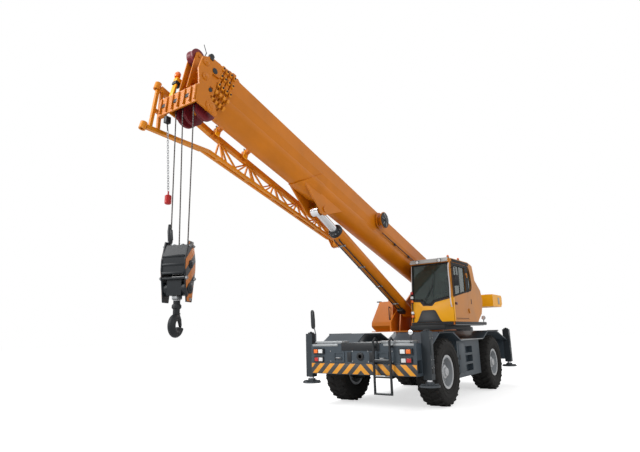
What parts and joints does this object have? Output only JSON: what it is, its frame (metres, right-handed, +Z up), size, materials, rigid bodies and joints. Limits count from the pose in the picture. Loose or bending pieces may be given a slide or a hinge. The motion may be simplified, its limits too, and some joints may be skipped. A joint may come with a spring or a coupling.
{
  "type": "rough terrain mobile crane",
  "caption": "Rough-terrain mobile crane: two-axle carrier with outriggers, slewing cab and telescopic boom with luffing cylinder, stowed lattice jib and hook block",
  "frame": {"origin": "centre of the bounding box's base, on the ground", "axes": "+X forward along the carrier and boom, +Y to the crane's left, +Z up"},
  "size_m": [12.3436, 3.2578, 6.1269],
  "materials": {
    "crane_orange": "satin enamel",
    "cab_yellow": "gloss enamel",
    "carrier_grey": "satin enamel",
    "tread_plate": "raised chequer pattern",
    "dark_steel": "painted black",
    "rim_silver": "silver enamel",
    "tyre_rubber": "moulded tread",
    "cab_glazing": "tinted",
    "seat_fabric": "woven",
    "cab_plastic": "grained",
    "lamp_lens": "moulded lens",
    "sheave_maroon": "satin enamel",
    "rod_chrome": "ground and plated",
    "wire_rope": "stranded wire",
    "block_black": "satin enamel"
  },
  "bodies": {
    "chassis": {"carrier_frame": "carrier_grey", "outrigger_box_front": "carrier_grey", "outrigger_box_rear": "carrier_grey", "side_decks": "tread_plate", "fenders": "carrier_grey", "cabinet_left": "carrier_grey", "cabinet_right": "carrier_grey", "engine_hood": "carrier_grey", "front_deck": "tread_plate", "engine_block": "dark_steel", "axle_front": "dark_steel", "axle_rear": "dark_steel", "ladder_front": "carrier_grey", "lamp_clusters": "lamp_lens", "mirror_front": "carrier_grey", "slew_ring": "dark_steel"},
    "knuckle_front_left": {"knuckle_front_left": "dark_steel"},
    "wheel_front_left": {"rim_front_left": "rim_silver", "tyre_front_left": "tyre_rubber"},
    "knuckle_front_right": {"knuckle_front_right": "dark_steel"},
    "wheel_front_right": {"rim_front_right": "rim_silver", "tyre_front_right": "tyre_rubber"},
    "knuckle_rear_left": {"knuckle_rear_left": "dark_steel"},
    "wheel_rear_left": {"rim_rear_left": "rim_silver", "tyre_rear_left": "tyre_rubber"},
    "knuckle_rear_right": {"knuckle_rear_right": "dark_steel"},
    "wheel_rear_right": {"rim_rear_right": "rim_silver", "tyre_rear_right": "tyre_rubber"},
    "beam_front_left": {"outrigger_beam_front_left": "carrier_grey"},
    "jack_front_left": {"jack_front_left": "dark_steel"},
    "beam_front_right": {"outrigger_beam_front_right": "carrier_grey"},
    "jack_front_right": {"jack_front_right": "dark_steel"},
    "beam_rear_left": {"outrigger_beam_rear_left": "carrier_grey"},
    "jack_rear_left": {"jack_rear_left": "dark_steel"},
    "beam_rear_right": {"outrigger_beam_rear_right": "carrier_grey"},
    "jack_rear_right": {"jack_rear_right": "dark_steel"},
    "superstructure": {"turntable": "crane_orange", "hydraulic_tank": "crane_orange", "counterweight": "crane_orange", "winches": "dark_steel", "cab_shell": "cab_yellow", "cab_glass": "cab_glazing", "operator_seat": "seat_fabric", "cab_console": "cab_plastic"},
    "cab_door": {"cab_door": "cab_yellow", "door_glass": "cab_glazing"},
    "boom": {"boom_base": "crane_orange", "jib": "crane_orange"},
    "section_2": {"boom_section_2": "crane_orange"},
    "section_3": {"boom_section_3": "crane_orange"},
    "section_4": {"boom_section_4": "crane_orange", "boom_head": "crane_orange", "head_sheaves": "sheave_maroon"},
    "luff_rod": {"luff_rod": "rod_chrome"},
    "luff_barrel": {"luff_barrel": "crane_orange"},
    "fall_line": {"hoist_ropes": "wire_rope"},
    "hook_block": {"hook_block": "block_black"},
    "hook": {"hook": "block_black"}
  },
  "joints": [
    {"name": "steer_front_left", "type": "hinge", "parent": "chassis", "child": "knuckle_front_left", "pos_m": [-0.528, 0.97, 0.74], "axis": [0, 0, 1], "range_deg": [-28, 28]},
    {"name": "roll_front_left", "type": "hinge", "parent": "knuckle_front_left", "child": "wheel_front_left", "pos_m": [-0.528, 1.19, 0.74], "axis": [0, 1, 0], "continuous": true},
    {"name": "steer_front_right", "type": "hinge", "parent": "chassis", "child": "knuckle_front_right", "pos_m": [-0.528, -0.97, 0.74], "axis": [0, 0, 1], "range_deg": [-28, 28]},
    {"name": "roll_front_right", "type": "hinge", "parent": "knuckle_front_right", "child": "wheel_front_right", "pos_m": [-0.528, -1.19, 0.74], "axis": [0, 1, 0], "continuous": true},
    {"name": "steer_rear_left", "type": "hinge", "parent": "chassis", "child": "knuckle_rear_left", "pos_m": [-4.128, 0.97, 0.74], "axis": [0, 0, 1], "range_deg": [-28, 28]},
    {"name": "roll_rear_left", "type": "hinge", "parent": "knuckle_rear_left", "child": "wheel_rear_left", "pos_m": [-4.128, 1.19, 0.74], "axis": [0, 1, 0], "continuous": true},
    {"name": "steer_rear_right", "type": "hinge", "parent": "chassis", "child": "knuckle_rear_right", "pos_m": [-4.128, -0.97, 0.74], "axis": [0, 0, 1], "range_deg": [-28, 28]},
    {"name": "roll_rear_right", "type": "hinge", "parent": "knuckle_rear_right", "child": "wheel_rear_right", "pos_m": [-4.128, -1.19, 0.74], "axis": [0, 1, 0], "continuous": true},
    {"name": "beam_out_front_left", "type": "slide", "parent": "chassis", "child": "beam_front_left", "axis": [0, 1, 0], "range_m": [0, 1.75]},
    {"name": "jack_down_front_left", "type": "slide", "parent": "beam_front_left", "child": "jack_front_left", "axis": [0, 0, -1], "range_m": [0, 0.62]},
    {"name": "beam_out_front_right", "type": "slide", "parent": "chassis", "child": "beam_front_right", "axis": [0, -1, 0], "range_m": [0, 1.75]},
    {"name": "jack_down_front_right", "type": "slide", "parent": "beam_front_right", "child": "jack_front_right", "axis": [0, 0, -1], "range_m": [0, 0.62]},
    {"name": "beam_out_rear_left", "type": "slide", "parent": "chassis", "child": "beam_rear_left", "axis": [0, 1, 0], "range_m": [0, 1.75]},
    {"name": "jack_down_rear_left", "type": "slide", "parent": "beam_rear_left", "child": "jack_rear_left", "axis": [0, 0, -1], "range_m": [0, 0.62]},
    {"name": "beam_out_rear_right", "type": "slide", "parent": "chassis", "child": "beam_rear_right", "axis": [0, -1, 0], "range_m": [0, 1.75]},
    {"name": "jack_down_rear_right", "type": "slide", "parent": "beam_rear_right", "child": "jack_rear_right", "axis": [0, 0, -1], "range_m": [0, 0.62]},
    {"name": "slew", "type": "hinge", "parent": "chassis", "child": "superstructure", "pos_m": [-2.328, 0, 1.6], "axis": [0, 0, 1], "continuous": true},
    {"name": "cab_door_hinge", "type": "hinge", "parent": "superstructure", "child": "cab_door", "pos_m": [-2.2505, 1.4648, 2.6], "axis": [0, 0, 1], "range_deg": [0, 80]},
    {"name": "luff", "type": "hinge", "parent": "superstructure", "child": "boom", "pos_m": [-3.528, 0, 2.95], "axis": [0, -1, 0], "range_deg": [-18.05, 63.95]},
    {"name": "extend_2", "type": "slide", "parent": "boom", "child": "section_2", "axis": [0.961, 0, 0.2765], "range_m": [0, 7.3]},
    {"name": "extend_3", "type": "slide", "parent": "section_2", "child": "section_3", "axis": [0.961, 0, 0.2765], "range_m": [0, 7.3]},
    {"name": "extend_4", "type": "slide", "parent": "section_3", "child": "section_4", "axis": [0.961, 0, 0.2765], "range_m": [0, 7.3]},
    {"name": "rod_pin", "type": "hinge", "parent": "boom", "child": "luff_rod", "pos_m": [2.42033, 0, 4.12018], "axis": [0, -1, 0], "range_deg": [-2.1, 7.2]},
    {"name": "cylinder_stroke", "type": "slide", "parent": "luff_rod", "child": "luff_barrel", "axis": [-0.9016, 0, -0.4326], "range_m": [-0.6, 2.1]},
    {"name": "fall_hang", "type": "hinge", "parent": "section_4", "child": "fall_line", "pos_m": [5.64245, 0, 5.07317], "axis": [0, -1, 0], "range_deg": [-64, 18.1]},
    {"name": "hoist", "type": "slide", "parent": "fall_line", "child": "hook_block", "axis": [0, 0, -1], "range_m": [-0.4, 1.5], "deforming": ["hoist_ropes"]},
    {"name": "hook_swivel", "type": "hinge", "parent": "hook_block", "child": "hook", "pos_m": [5.85175, 0, 1.9], "axis": [0, 0, 1], "continuous": true}
  ],
  "couplings": [
    {"joint": "steer_front_right", "follows": "steer_front_left", "ratio": 1},
    {"joint": "steer_rear_right", "follows": "steer_rear_left", "ratio": 1},
    {"joint": "extend_3", "follows": "extend_2", "ratio": 1},
    {"joint": "extend_4", "follows": "extend_2", "ratio": 1},
    {"joint": "rod_pin", "follows": "luff", "ratio": 0.11},
    {"joint": "cylinder_stroke", "follows": "luff", "m_per_rad": 1.86},
    {"joint": "fall_hang", "follows": "luff", "ratio": -1}
  ]
}
